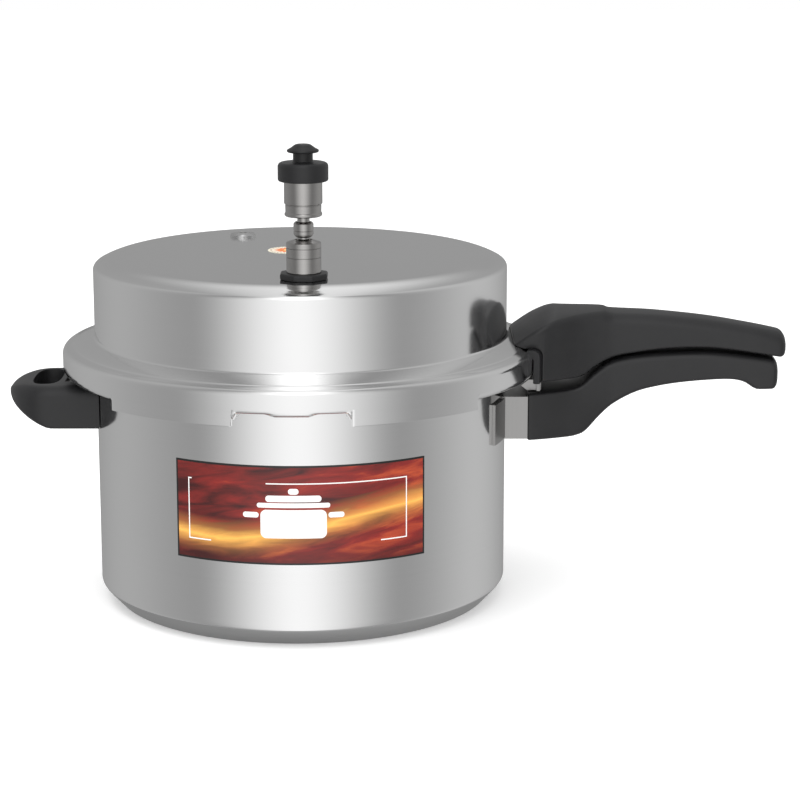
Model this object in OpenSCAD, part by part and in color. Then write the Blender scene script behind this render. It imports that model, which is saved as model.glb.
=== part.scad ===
// Outer-lid stovetop pressure cooker.
// Origin: centre of the flat base. +X runs along the two long handles, +Z is up.
// The lid turns about Z to lock its lips under the lugs of the pot rim.

/* [Pot] */
// Outer radius of the pot wall
pot_r = 125; // [100:1:150]
// Height of the rim above the base
pot_h = 148.5; // [120:0.5:190]
// Thickness of the pot wall
pot_wall = 3.25; // [2.7:0.05:3.9]
// Thickness of the pot floor
floor_t = 4.5; // [3.7:0.1:6]
// Height of the machined band above the base
foot_h = 11.5; // [9:0.5:14]
// How far the flat of the base lies inside the wall
foot_in = 10; // [8:0.5:12]
// Radius inside the bottom corner
corner_r = 12; // [10:0.5:14]

/* [Rim lugs] */
// How far the continuous rim stands out from the wall
rim_out = 5; // [4:0.25:5.5]
// How far a lug stands out past the rim
lug_out = 9.5; // [8:0.25:10]
// Thickness of the rim and its lugs
rim_t = 3.25; // [2.7:0.05:3.9]
// Number of lugs, and of lips on the lid
lug_count = 6; // [6:1:6]
// Angle that one lug or lip covers
lug_deg = 27; // [20:0.5:28]

/* [Lid] */
// Thickness of the lid sheet
lid_t = 3.1; // [2.6:0.05:3.5]
// Height of the lid crown above the rim
dome_h = 62.5; // [52:0.5:75]
// How far the dome wall stands outside the pot wall
dome_out = 0.6; // [0:0.1:1]
// Radius of the top edge of the dome
top_fillet = 3.6; // [3.3:0.1:4.4]
// Radius of the shallow round between the flat top and that corner
crown_round = 36; // [30:1:43]
// Angle that the shallow round turns through
crown_deg = 28.5; // [24:0.5:34]
// Radius where the dome meets the shoulder
foot_fillet = 2; // [1.5:0.1:3]
// Slope of the shoulder below level
shoulder_deg = 18; // [15:0.5:21.5]
// Radial gap between the lugs and the inside of the skirt
skirt_gap = 2.4; // [2:0.1:3]
// Radius of the outer corner of the shoulder
skirt_corner = 4; // [3.4:0.1:4.7]
// Depth of the skirt below the top of the rim
skirt_drop = 12.8; // [11.5:0.2:13.4]
// Gap between a lug and the lip that turns in under it
lip_gap = 1.25; // [1:0.05:1.5]
// Height of the corner of the shoulder above the rim
corner_rise = 4.8; // [4:0.2:5.8]

/* [Gasket] */
// Gap between the gasket and the rim it seals
gasket_gap = 0.4; // [0.3:0.05:0.5]
// Height of the gasket at its outer edge
gasket_h = 5; // [4:0.25:5.5]
// Gap between the gasket and the lid
gasket_fit = 0.5; // [0.3:0.05:0.8]

/* [Long handles] */
// Length from the pot wall to where the grips begin
neck_l = 60; // [58:1:66]
// Length of the grip beyond the neck
grip_l = 110; // [92:1:132]
// Width of the grips
grip_w = 30; // [25:1:36]
// Width of the pot handle where it meets its bracket
root_w = 56; // [50:1:60]
// Width of the lid handle where it meets the lid
lid_root_w = 68; // [60:1:74]
// Thickness of the bracket steel
plate_t = 2; // [1.7:0.1:2.4]
// Diameter of the handle screws
screw_d = 4; // [3.4:0.2:4.8]
// Diameter of the bracket rivets
rivet_d = 5; // [4:0.25:6]

/* [Helper handle] */
// How far the helper handle stands out from the pot wall
helper_out = 54; // [50:1:64]
// Width of the helper handle
helper_w = 66; // [60:1:78]
// Height of the helper handle
helper_h = 26; // [23:1:30]
// Length of the finger slot, across the handle
slot_w = 44; // [36:1:46]
// Depth of the finger slot, away from the pot
slot_l = 17; // [14.5:0.5:18]

/* [Vent and weight] */
// Place of the vent along the handles
vent_x = 5.6; // [0:0.2:8]
// Place of the vent in front of the centre
vent_y = -91; // [-94:1:-70]
// Diameter of the steel housing
housing_d = 20.1; // [17:0.1:24]
// Height of the steel housing
housing_h = 19; // [15.8:0.1:22]
// Width across the flats of the octagonal base nut
base_nut_w = 27; // [25.5:0.5:32]
// Height of the base nut
base_nut_h = 3.7; // [3.1:0.1:4.5]
// Diameter of the bore up through the vent pipe
vent_bore = 3; // [2.4:0.1:3.6]
// Diameter of the bulb on the vent pipe
bulb_d = 11.5; // [10:0.5:13]
// Diameter of the steel weight
weight_d = 21.9; // [18.5:0.1:26]
// Height of the steel weight
weight_h = 20.1; // [18:0.1:24]
// Diameter of the black cap on the weight
cap_d = 28.8; // [26:0.2:34.6]
// Height of the black cap
cap_h = 10.8; // [9:0.2:13]
// Diameter of the knob on top
knob_d = 18.4; // [15.6:0.2:22]
// Running gap between the needle and the weight
needle_fit = 0.08; // [0.05:0.01:0.1]

/* [Safety plug and labels] */
// Place of the fusible plug along the handles
plug_x = -39.5; // [-46:0.5:-34]
// Place of the fusible plug behind the centre
plug_y = 69; // [50:1:76]
// Diameter of the fusible plug's head
plug_d = 16; // [14:0.5:19]
// Height of the front label
label_h = 58.4; // [48:0.2:70]
// Angle that the front label covers
label_deg = 69.5; // [58:0.5:83]
// Height of the bottom edge of the front label
label_z = 50.8; // [40:0.2:56]
// Diameter of the round sticker on the lid
sticker_d = 26; // [22:1:31]

/* [Hidden] */
$fn = 96;

fit = 0.05;              // gap of pieces bolted or riveted together
touch = 0.3;             // gap of pieces that only lie side by side
label_t = 0.2;
label_turn = 1.75;       // the label sits a little to the right of the front

// Pot
rim_r = pot_r + rim_out;
lug_r = rim_r + lug_out;
foot_r = pot_r - foot_in;
inner_r = pot_r - pot_wall;

// Lid, from the rim upwards and outwards
lid_r = pot_r + dome_out;
lid_top = pot_h + dome_h;
skirt_r = lug_r + skirt_gap + lid_t;
skirt_z = pot_h - skirt_drop;
lip_z = pot_h - rim_t - lip_gap - lid_t;
roll_r = 4.7;            // radius of the skirt where it turns in to a lip
roll_z = lip_z + roll_r;
lip_r = rim_r + 1;       // the lips clear the continuous rim
shoulder_z = pot_h + corner_rise;
round_x = lid_r - top_fillet - (crown_round - top_fillet) * sin(crown_deg);
round_z = lid_top - crown_round;
edge_z = round_z + (crown_round - top_fillet) * cos(crown_deg);
shoulder_out = 90 - shoulder_deg;
fillet_x = lid_r + foot_fillet;
corner_x = skirt_r - skirt_corner;
fillet_z = shoulder_z + (foot_fillet + skirt_corner
    - cos(shoulder_out) * (fillet_x - corner_x)) / sin(shoulder_out);
open_deg = 87;           // the skirt is cut high over this angle at each handle
edge_deg = 0.6;          // the turned-in edge runs this much past each cut

// Long handles
root_x = pot_r + 12.8;   // face of the pot handle towards the pot
grip_x = pot_r + neck_l;
tip_x = grip_x + grip_l;
bracket_top = pot_h - 20.9;
bracket_low = pot_h - 47;
flange_deg = 22.5;       // half angle of the bracket flange on the pot
tongue_l = 30;
tongue_w = 22;
pot_tongue_z = pot_h - 36;
screw_x = root_x + 20;

// Lid handle
collar_in = skirt_r + touch;
collar_out = collar_in + 4;
collar_deg = 16;         // half angle of the collar on the skirt
collar_top = shoulder_z + 5;
collar_low = pot_h - 10.5;
lid_plate_r = skirt_r + fit;
lid_plate_deg = 9;       // half angle of the bracket plate on the skirt
hook_z = pot_h - 18.2;
hook_r = lug_r - 5.5;
hook_w = 40;             // the hook reaches in under the skirt, over this width
tongue_z = shoulder_z - 4.5;
lid_rivet_d = 4;
lid_rivet_z = shoulder_z - 8.3;
lid_screw_x = collar_out + 6;
lid_screw_step = 11;
screw_head_r = screw_d * 0.95;
screw_hole_r = screw_d / 2 + 0.15;

// Helper handle
helper_tip = -(pot_r + helper_out);
helper_low = pot_h - 39.9;
helper_top = helper_low + helper_h;
slot_x = -(pot_r + 22);  // side of the finger slot towards the pot
bar_t = 3.4;             // thickness of the bar between slot and bracket
channel_x = slot_x + bar_t;
channel_w = 30;
channel_deg = 2 * asin((channel_w / 2 - 1) / pot_r);
channel_low = helper_low + 3.5;
channel_top = helper_top - 3;
helper_screw_z = (channel_low + channel_top) / 2;

// Vent pipe, from the lid upwards
nut_top = lid_top + base_nut_h;
housing_top = nut_top + housing_h;
bulb_z = housing_top + 1.3;
bulb_top = bulb_z + 9;
pipe_r = 4;
neck_r = 3;
weight_z = bulb_top + 2.9;
pipe_top = weight_z + 4.4;
weight_top = weight_z + weight_h;
cap_top = weight_top + cap_h;
stem_top = cap_top + 5.5;
knob_top = stem_top + 4.7;
needle_r = 1.7;
needle_head_r = 4;
needle_head_z = weight_top - 5;
lid_under = lid_top - lid_t;
washer_t = 1.2;
nut_t = 5;

function arc(x, z, r, a0, a1, n = 10) =
    [for (i = [0:n]) let (a = a0 + (a1 - a0) * i / n) [x + r * cos(a), z + r * sin(a)]];

// Smooth curve through the points p, with n steps from each to the next
function knot(p, i) = p[max(0, min(len(p) - 1, i))];
function bend(a, b, c, d, t) = 0.5 * (2 * b + (c - a) * t + (2 * a - 5 * b + 4 * c - d) * t * t
    + (3 * b - a - 3 * c + d) * t * t * t);
function curve(p, n = 5) = concat(
    [for (i = [0:len(p) - 2], s = [0:n - 1])
        bend(knot(p, i - 1), p[i], p[i + 1], knot(p, i + 2), s / n)],
    [p[len(p) - 1]]);

// Outside of the lid from the crown to the shoulder's corner, moved in by d
function lid_line(d) = concat(
    [[0, lid_top - d]],
    arc(round_x, round_z, crown_round - d, 90, 90 - crown_deg, 8),
    arc(lid_r - top_fillet, edge_z, top_fillet - d, 90 - crown_deg, 0, 6),
    arc(fillet_x, fillet_z, foot_fillet + d, 180, 270 - shoulder_deg),
    arc(corner_x, shoulder_z, skirt_corner - d, shoulder_out, 0));
function reversed(p) = [for (i = [len(p) - 1:-1:0]) p[i]];

module wedge(middle, angle, r, z0, z1) {
    rotate([0, 0, middle - angle / 2]) translate([0, 0, z0])
        linear_extrude(z1 - z0) polygon(concat([[0, 0]],
            [for (i = [0:3]) 2 * r * [cos(angle * i / 3), sin(angle * i / 3)]]));
}

module ring(r0, r1, z0, z1) {
    translate([0, 0, z0]) difference() {
        cylinder(r = r1, h = z1 - z0);
        translate([0, 0, -1]) cylinder(r = r0, h = z1 - z0 + 2);
    }
}

module sector(r0, r1, z0, z1, middle, angle) {
    intersection() {
        ring(r0, r1, z0, z1);
        wedge(middle, angle, r1, z0 - 1, z1 + 1);
    }
}

// A side outline in x and z, extruded across the handle
module side_slab(w) {
    rotate([90, 0, 0]) translate([0, 0, -w / 2]) linear_extrude(w) children();
}

// A rod along the radius at a given angle and height
module radial(angle, z, r, x0, x1) {
    rotate([0, 0, angle]) translate([x0, 0, z]) rotate([0, 90, 0]) cylinder(r = r, h = x1 - x0);
}

// A rivet through a wall: a shank and a low domed head on the outside
module rivet(angle, z, d, wall_r, plate_r) {
    head_t = d * 0.32;
    radial(angle, z, d / 2, wall_r, plate_r + head_t / 2);
    rotate([0, 0, angle]) translate([plate_r, 0, z]) rotate([0, 90, 0])
        rotate_extrude() polygon([[0, 0], [d * 0.85, 0], [d * 0.8, head_t * 0.6],
            [d * 0.55, head_t], [0, head_t]]);
}

module upright_screw(x, z, shank_l) {
    head_h = screw_d * 0.7;
    difference() {
        translate([x, 0, z]) {
            cylinder(r = screw_head_r, h = head_h);
            cylinder(r = screw_d / 2, h = head_h + shank_l);
        }
        translate([x, 0, z]) {
            cube([screw_d * 1.2, screw_d * 0.22, head_h], center = true);
            cube([screw_d * 0.22, screw_d * 1.2, head_h], center = true);
        }
    }
}

module hex_nut(width, h, bore_r) {
    difference() {
        cylinder(r = width / sqrt(3), h = h, $fn = 6);
        translate([0, 0, -1]) cylinder(r = bore_r, h = h + 2);
    }
}

// ---- Pot ----

module pot_wall_line() {
    polygon(concat(
        [[0, 0], [foot_r, 0], [pot_r, foot_h], [pot_r, pot_h - rim_t], [rim_r, pot_h - rim_t],
            [rim_r, pot_h], [inner_r, pot_h]],
        arc(inner_r - corner_r, floor_t + corner_r, corner_r, 0, -90),
        [[0, floor_t]]));
}

pot_rivet_deg = 6;
pot_rivet_z = (bracket_top + bracket_low) / 2;
helper_rivet_y = 7.63;
helper_rivet_deg = asin(helper_rivet_y / pot_r);

module pot_body() {
    color("silver") difference() {
        union() {
            rotate_extrude() pot_wall_line();
            for (i = [0:lug_count - 1])
                sector(rim_r - 1, lug_r, pot_h - rim_t, pot_h, -90 + i * 360 / lug_count, lug_deg);
        }
        for (s = [-1, 1]) {
            radial(s * pot_rivet_deg, pot_rivet_z, rivet_d / 2 + fit, inner_r - 5, pot_r + 5);
            radial(180 + s * helper_rivet_deg, helper_screw_z, rivet_d / 2 + fit, inner_r - 5, pot_r + 5);
        }
    }
}

module body_label() {
    color("firebrick") sector(pot_r + fit, pot_r + fit + label_t, label_z, label_z + label_h,
        -90 + label_turn, label_deg);
}

// ---- Pot handle ----

pot_plate_r = pot_r + fit;
neck_w = root_w - 2;

module pot_bracket() {
    color("lightgray") difference() {
        union() {
            sector(pot_plate_r, pot_plate_r + plate_t, bracket_low + 1, bracket_top - 0.5, 0, 2 * flange_deg);
            difference() {
                translate([pot_r - 6, -neck_w / 2, bracket_low])
                    cube([root_x - fit - pot_r + 6, neck_w, bracket_top - bracket_low]);
                translate([pot_r - 7, -neck_w / 2 + plate_t, bracket_low - 1])
                    cube([root_x - fit - plate_t - pot_r + 7, neck_w - 2 * plate_t,
                        bracket_top - bracket_low + 1 - plate_t]);
                translate([0, 0, bracket_low - 2]) cylinder(r = pot_plate_r, h = 60);
            }
            translate([root_x - plate_t, -tongue_w / 2, pot_tongue_z])
                cube([plate_t + tongue_l, tongue_w, plate_t + 1]);
        }
        for (s = [-1, 1])
            radial(s * pot_rivet_deg, pot_rivet_z, rivet_d / 2 + fit, pot_r - 5, pot_r + plate_t + 3);
        translate([screw_x, 0, pot_tongue_z - 2]) cylinder(r = screw_hole_r, h = plate_t + 6);
    }
}

module pot_bracket_rivets() {
    color("gainsboro") for (s = [-1, 1])
        rivet(s * pot_rivet_deg, pot_rivet_z, rivet_d, inner_r - 1, pot_plate_r + plate_t + fit);
}

function pot_handle_line() = concat(
    curve([[root_x, pot_h - 19.2], [pot_r + 41, pot_h - 17.8], [pot_r + 47, pot_h - 15],
        [pot_r + 53.5, pot_h - 9], [grip_x + 4.5, pot_h - 1.9], [grip_x + 23, pot_h + 2],
        [grip_x + 0.49 * grip_l, pot_h + 3.8], [grip_x + 0.66 * grip_l, pot_h + 3],
        [tip_x - 12.5, pot_h], [tip_x - 5, pot_h - 1]]),
    [[tip_x - 4, pot_h - 2], [tip_x - 5.5, pot_h - 12], [tip_x - 7, pot_h - 18], [tip_x - 8.5, pot_h - 19],
        [tip_x - 17, pot_h - 19]],
    curve([[tip_x - 19, pot_h - 17.5], [tip_x - 26, pot_h - 13.8], [grip_x + 0.66 * grip_l, pot_h - 12.6],
        [grip_x + 0.44 * grip_l, pot_h - 14.4], [grip_x + 29, pot_h - 17.5], [grip_x + 17, pot_h - 21.5],
        [grip_x + 5, pot_h - 28], [pot_r + 56.5, pot_h - 36.2], [pot_r + 49, pot_h - 44.4],
        [pot_r + 44, pot_h - 46.6], [pot_r + 36, pot_h - 47.7], [root_x, pot_h - 48.2]]));

// Half of a handle seen from above, from its root at x0 to a rounded tip at x1
function plan_half(x0, w0, x1, tip) = concat(
    curve([[x0, w0 / 2], [x0 + 9, w0 / 2 * 0.93], [pot_r + 40, w0 / 4 + grip_w / 4 - 1],
        [grip_x, grip_w / 2 + 0.6], [grip_x + 16, grip_w / 2],
        [x1 - tip - 4, grip_w / 2 - 0.4]]),
    curve([[x1 - tip, grip_w / 2 - 1.2], [x1 - tip * 0.3, grip_w / 2 - 4.5], [x1, grip_w * 0.17]]));
function mirrored(p) = concat(p, [for (q = reversed(p)) [q.x, -q.y]]);

module pot_handle() {
    screw_head_z = pot_h - 44;
    color("#2b2b2d") difference() {
        intersection() {
            side_slab(root_w + 10) polygon(pot_handle_line());
            translate([0, 0, pot_h - 60]) linear_extrude(80)
                polygon(mirrored(plan_half(root_x, root_w, tip_x - 4, 7)));
        }
        translate([root_x - 1, -tongue_w / 2 - fit, pot_tongue_z - fit])
            cube([tongue_l + 2, tongue_w + 2 * fit, plate_t + 1 + 2 * fit]);
        translate([screw_x, 0, pot_h - 60]) cylinder(r = screw_head_r + 0.3, h = screw_head_z - pot_h + 60);
        translate([screw_x, 0, pot_h - 60]) cylinder(r = screw_hole_r, h = 35);
    }
}

module pot_handle_screw() {
    color("silver") upright_screw(screw_x, pot_h - 44 - screw_d * 0.7 - fit, 14);
}

// ---- Helper handle ----

module helper_bracket() {
    wall_x = -channel_x - fit;
    color("lightgray") difference() {
        union() {
            difference() {
                translate([-wall_x, -channel_w / 2, channel_low])
                    cube([wall_x - pot_r + 6, channel_w, channel_top - channel_low]);
                translate([-wall_x + plate_t, -channel_w / 2 + plate_t, channel_low - 1])
                    cube([wall_x, channel_w - 2 * plate_t, channel_top - channel_low + 1 - plate_t]);
            }
            sector(pot_plate_r, pot_plate_r + plate_t, channel_low, channel_top, 180, channel_deg);
        }
        translate([0, 0, channel_low - 2]) cylinder(r = pot_plate_r, h = 60);
        for (s = [-1, 1])
            radial(180 + s * helper_rivet_deg, helper_screw_z, rivet_d / 2 + fit, pot_r - 5, pot_r + plate_t + 3);
        radial(180, helper_screw_z, screw_hole_r, wall_x - plate_t - 1, wall_x + 1);
    }
}

module helper_bracket_rivets() {
    color("gainsboro") for (s = [-1, 1])
        rivet(180 + s * helper_rivet_deg, helper_screw_z, rivet_d, inner_r - 1, pot_plate_r + plate_t + fit);
}

module helper_handle() {
    bulge = helper_w / 2;
    reach = helper_out - 29;         // length of the rounded outer part
    slot_round = slot_l * 0.47;
    color("#2b2b2d") difference() {
        intersection() {
            side_slab(helper_w + 10) polygon(concat(
                [[-pot_r + 10, helper_low], [helper_tip + 29, helper_low]],
                curve([[helper_tip + 26, helper_low + 0.4], [helper_tip + 17, helper_low + 4.8],
                    [helper_tip + 8, helper_low + 10.4], [helper_tip + 1.5, helper_low + 15.6],
                    [helper_tip, helper_low + 19], [helper_tip + 2.5, helper_top - 4.2],
                    [helper_tip + 9, helper_top - 1.2], [helper_tip + 20, helper_top]]),
                [[-pot_r + 10, helper_top]]));
            translate([0, 0, helper_low - 1]) linear_extrude(helper_h + 2) polygon(concat(
                [[-pot_r + 10, bulge], [helper_tip + reach + 4, bulge]],
                [for (a = [92:4:268]) [helper_tip + reach + reach * cos(a), bulge * sin(a)]],
                [[helper_tip + reach + 4, -bulge], [-pot_r + 10, -bulge]]));
        }
        translate([0, 0, helper_low - 2]) cylinder(r = pot_plate_r, h = helper_h + 4);
        translate([slot_x - slot_l / 2, 0, helper_low - 1]) linear_extrude(helper_h + 2) union() {
            square([slot_l, slot_w - 2 * slot_round], center = true);
            for (s = [-1, 1], t = [-1, 1])
                translate([t * (slot_l / 2 - slot_round), s * (slot_w / 2 - slot_round)])
                    circle(r = slot_round);
            square([slot_l - 2 * slot_round, slot_w], center = true);
        }
        translate([channel_x, -channel_w / 2 - touch, channel_low - 8])
            cube([60, channel_w + 2 * touch, helper_h + 20]);
        radial(180, helper_screw_z, screw_hole_r, -channel_x - 1, -slot_x + 1);
    }
}

module helper_handle_screw() {
    head_h = screw_d * 0.6;
    color("silver") rotate([0, 0, 180]) {
        radial(0, helper_screw_z, screw_d / 2, -channel_x - plate_t - 5, -slot_x + fit + head_h / 2);
        difference() {
            radial(0, helper_screw_z, screw_head_r, -slot_x + fit, -slot_x + fit + head_h);
            translate([-slot_x + fit + head_h, 0, helper_screw_z]) {
                cube([head_h, screw_d * 1.2, screw_d * 0.22], center = true);
                cube([head_h, screw_d * 0.22, screw_d * 1.2], center = true);
            }
        }
    }
}

// ---- Lid ----

// Section of the skirt's turned-in edge, which the flat lips carry on inwards
module rolled_edge() {
    x = skirt_r - roll_r;
    polygon(concat(
        arc(x, roll_z, roll_r, 0, -90, 8),
        [[x - 1, lip_z], [x - 1, lip_z + lid_t]],
        arc(x, roll_z, roll_r - lid_t, -90, 0, 6)));
}

// A turned section of the lid, kept over an angle about the middle
module lid_part(middle, angle) {
    intersection() {
        rotate_extrude() children();
        wedge(middle, angle, skirt_r, skirt_z - 1, lid_top + 1);
    }
}

module lid_shell() {
    color("silver") difference() {
        union() {
            difference() {
                rotate_extrude() polygon(concat(
                    lid_line(0), [[skirt_r, skirt_z], [skirt_r - lid_t, skirt_z]],
                    reversed(lid_line(lid_t))));
                for (a = [0, 180])
                    sector(skirt_r - lid_t - 2, skirt_r + 2, skirt_z - 1, roll_z, a, open_deg);
                for (a = [90, 270])
                    sector(skirt_r - lid_t - 2, skirt_r + 2, skirt_z - 1, roll_z, a, lug_deg);
            }
            for (a = [0, 180])
                lid_part(a, open_deg + edge_deg) rolled_edge();
            for (a = [90, 270])
                lid_part(a, lug_deg + edge_deg) rolled_edge();
            for (i = [0:lug_count - 1])
                sector(lip_r, skirt_r - roll_r - 0.5, lip_z, lip_z + lid_t,
                    -90 + i * 360 / lug_count, lug_deg);
        }
        translate([vent_x, vent_y, lid_top - 10]) cylinder(r = pipe_r + fit, h = 20);
        translate([plug_x, plug_y, lid_top - 10]) cylinder(r = plug_stem_r + fit, h = 20);
        for (s = [-1, 1])
            radial(s * lid_rivet_deg, lid_rivet_z, lid_rivet_d / 2 + fit, skirt_r - 6, skirt_r + 6);
    }
}

lid_rivet_deg = 6;

module gasket() {
    x = skirt_r - lid_t - gasket_fit;
    z = pot_h + gasket_gap;
    slope = tan(shoulder_deg);
    top = z + gasket_h;
    inside = pot_r + 2.5;
    color("dimgray") rotate_extrude() polygon([
        [inside, z], [x, z], [x, top - 1], [x - 2.5, top],
        [inside + 3, top + slope * (x - inside - 6)], [inside + 0.6, top + slope * (x - inside - 6) - 0.8]]);
}

module lid_bracket() {
    r1 = lid_plate_r + plate_t;
    color("lightgray") difference() {
        union() {
            sector(lid_plate_r, r1, hook_z, shoulder_z - 1, 0, 2 * lid_plate_deg);
            side_slab(hook_w) polygon([[hook_r, hook_z + 2.8], [hook_r + 3.5, hook_z],
                [skirt_r + 1, hook_z], [skirt_r + 1, hook_z + 6.4], [hook_r + 4.5, hook_z + 6.4]]);
            translate([lid_plate_r + 0.5, -tongue_w / 2, tongue_z])
                cube([tongue_l - 4, tongue_w, plate_t]);
        }
        for (s = [-1, 1])
            radial(s * lid_rivet_deg, lid_rivet_z, lid_rivet_d / 2 + fit, skirt_r - 2, r1 + 3);
        for (i = [0, 1])
            translate([lid_screw_x + i * lid_screw_step, 0, tongue_z - 1])
                cylinder(r = screw_hole_r, h = plate_t + 2);
    }
}

module lid_bracket_rivets() {
    color("gainsboro") for (s = [-1, 1])
        rivet(s * lid_rivet_deg, lid_rivet_z, lid_rivet_d, skirt_r - lid_t + 0.1, lid_plate_r + plate_t + fit);
}

// Room that the bracket plate and its rivet heads need inside the handle
module bracket_room() {
    sector(skirt_r - 2, lid_plate_r + plate_t + 1.7, collar_low - 1, shoulder_z, 0, 2 * lid_plate_deg + 1);
    translate([lid_plate_r, -tongue_w / 2 - fit, tongue_z - fit])
        cube([tongue_l, tongue_w + 2 * fit, plate_t + 2 * fit]);
}

module lid_handle_collar() {
    color("#232324") difference() {
        intersection() {
            rotate_extrude() polygon(concat(
                [[skirt_r - 12, collar_low], [collar_out, collar_low]],
                arc(collar_out - 4, collar_top - 4, 4, 0, 90, 6),
                [[skirt_r - 12, collar_top]]));
            wedge(0, 2 * collar_deg, collar_out, collar_low - 1, collar_top + 1);
        }
        lid_envelope();
        bracket_room();
    }
}

// The space that the lid takes, with room around it
module lid_envelope() {
    rotate_extrude() polygon(concat(lid_line(-touch), [[collar_in, skirt_z - 20], [0, skirt_z - 20]]));
}

function lid_handle_line() = concat(
    curve([[pot_r - 3, pot_h + 11.5], [pot_r + 4, pot_h + 17], [pot_r + 16, pot_h + 24.4],
        [pot_r + 27, pot_h + 29.6], [pot_r + 36, pot_h + 30.2], [pot_r + 58, pot_h + 29.8],
        [pot_r + 64, pot_h + 28.3], [grip_x + 30, pot_h + 27], [grip_x + 0.56 * grip_l, pot_h + 23.6],
        [grip_x + 0.78 * grip_l, pot_h + 19.6], [tip_x - 5, pot_h + 15.8]]),
    [[tip_x - 2.5, pot_h + 13.4], [tip_x + 0.5, pot_h + 2]],
    curve([[tip_x, pot_h + 0.4], [tip_x - 13, pot_h + 2], [grip_x + 0.66 * grip_l, pot_h + 5.8],
        [grip_x + 0.49 * grip_l, pot_h + 6.7], [grip_x + 35, pot_h + 5.8], [grip_x + 16.8, pot_h + 3.3],
        [grip_x + 4.5, pot_h + 0.8], [pot_r + 53.5, pot_h - 4.7], [pot_r + 48.5, pot_h - 8.7],
        [pot_r + 43.7, pot_h - 10.7], [pot_r + 36, pot_h - 11], [pot_r - 3, pot_h - 11]]));

module lid_handle() {
    color("#2b2b2d") difference() {
        intersection() {
            side_slab(lid_root_w + 10) polygon(lid_handle_line());
            translate([0, 0, pot_h - 20]) linear_extrude(60)
                polygon(concat([[pot_r - 5, lid_root_w / 2]],
                    mirrored(plan_half(collar_out - 3, lid_root_w, tip_x + 0.5, 8)),
                    [[pot_r - 5, -lid_root_w / 2]]));
        }
        lid_envelope();
        translate([0, 0, skirt_z - 20]) cylinder(r = collar_out + touch, h = collar_top + touch - skirt_z + 20);
        bracket_room();
        for (i = [0, 1]) translate([lid_screw_x + i * lid_screw_step, 0, pot_h - 20]) {
            cylinder(r = screw_head_r + 0.3, h = 12);
            cylinder(r = screw_hole_r, h = 28);
        }
    }
}

module lid_handle_screws() {
    color("silver") for (i = [0, 1])
        upright_screw(lid_screw_x + i * lid_screw_step, pot_h - 8 - screw_d * 0.7 - fit, 14);
}

// ---- Vent, standing at the vent's place ----

module at_vent() {
    translate([vent_x, vent_y, 0]) children();
}

module vent_pipe() {
    seat = 1.2;
    half = bulb_d / 2;
    color("silver") at_vent() rotate_extrude() polygon([
        [vent_bore / 2, lid_under - washer_t - nut_t - 2], [pipe_r - 0.5, lid_under - washer_t - nut_t - 2],
        [pipe_r, lid_under - washer_t - nut_t - 1.5], [pipe_r, housing_top - 2.5],
        [neck_r, housing_top - 1.5], [neck_r, bulb_z], [half - 1.4, bulb_z], [half, bulb_z + 1.6],
        [half, bulb_z + 3.6], [half - 0.3, bulb_z + 3.8], [half, bulb_z + 4],
        [half, bulb_top - 1.2], [half - 0.8, bulb_top], [neck_r + 0.5, bulb_top],
        [neck_r + 0.5, pipe_top], [vent_bore / 2 + seat, pipe_top], [vent_bore / 2, pipe_top - seat]]);
}

module vent_housing() {
    r = housing_d / 2;
    groove = 0.35;
    color("silver") at_vent() rotate_extrude() polygon([
        [pipe_r + fit, nut_top], [r, nut_top], [r, housing_top - 10.1], [r - groove, housing_top - 9.9],
        [r, housing_top - 9.7], [r, housing_top - 4.7], [r - groove, housing_top - 4.5],
        [r, housing_top - 4.3], [r, housing_top - 2], [r - 0.5, housing_top - 1.5],
        [r * 0.54, housing_top], [r * 0.5, housing_top - 1.6], [pipe_r + fit, housing_top - 1.6]]);
}

module vent_base_nut() {
    color("#2b2b2d") at_vent() translate([0, 0, lid_top]) difference() {
        rotate([0, 0, 22.5]) cylinder(r = base_nut_w / 2 / cos(22.5), h = base_nut_h, $fn = 8);
        translate([0, 0, -1]) cylinder(r = pipe_r + fit, h = base_nut_h + 2);
        translate([0, 0, base_nut_h - 0.01]) cylinder(r = housing_d / 2, h = 1);
    }
}

module vent_washer() {
    color("dimgray") at_vent() ring(pipe_r + fit, 9, lid_under - washer_t, lid_under);
}

module vent_lock_nut() {
    color("silver") at_vent() translate([0, 0, lid_under - washer_t - nut_t])
        hex_nut(14, nut_t, pipe_r + fit);
}

// ---- Weight ----

module valve_needle() {
    seat_z = pipe_top + needle_fit;
    color("silver") at_vent() rotate_extrude() polygon([
        [0, seat_z - 1.1], [needle_r - 0.7, seat_z - 0.4], [needle_r, seat_z + 0.5],
        [needle_r, needle_head_z], [needle_head_r, needle_head_z], [needle_head_r, needle_head_z + 2],
        [0, needle_head_z + 2]]);
}

module weight_sleeve() {
    r = weight_d / 2;
    socket_r = weight_d / 2 - 4;
    socket_top = pipe_top + 1.6;
    pin_r = needle_r + needle_fit;
    well_r = needle_head_r + touch;
    z = weight_z;
    color("silver") at_vent() rotate_extrude() polygon([
        [socket_r, z], [r - 1.2, z], [r - 0.2, z + 0.7], [r - 0.2, z + 2], [r - 0.7, z + 2.5],
        [r - 0.5, z + 6.6], [r - 0.8, z + 6.8], [r - 0.5, z + 7], [r, z + 7.5],
        [r, weight_top], [well_r, weight_top],
        [well_r, needle_head_z - 0.1], [pin_r, needle_head_z - 0.1], [pin_r, socket_top],
        [socket_r, socket_top]]);
}

stud_r = 2.5;

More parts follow.
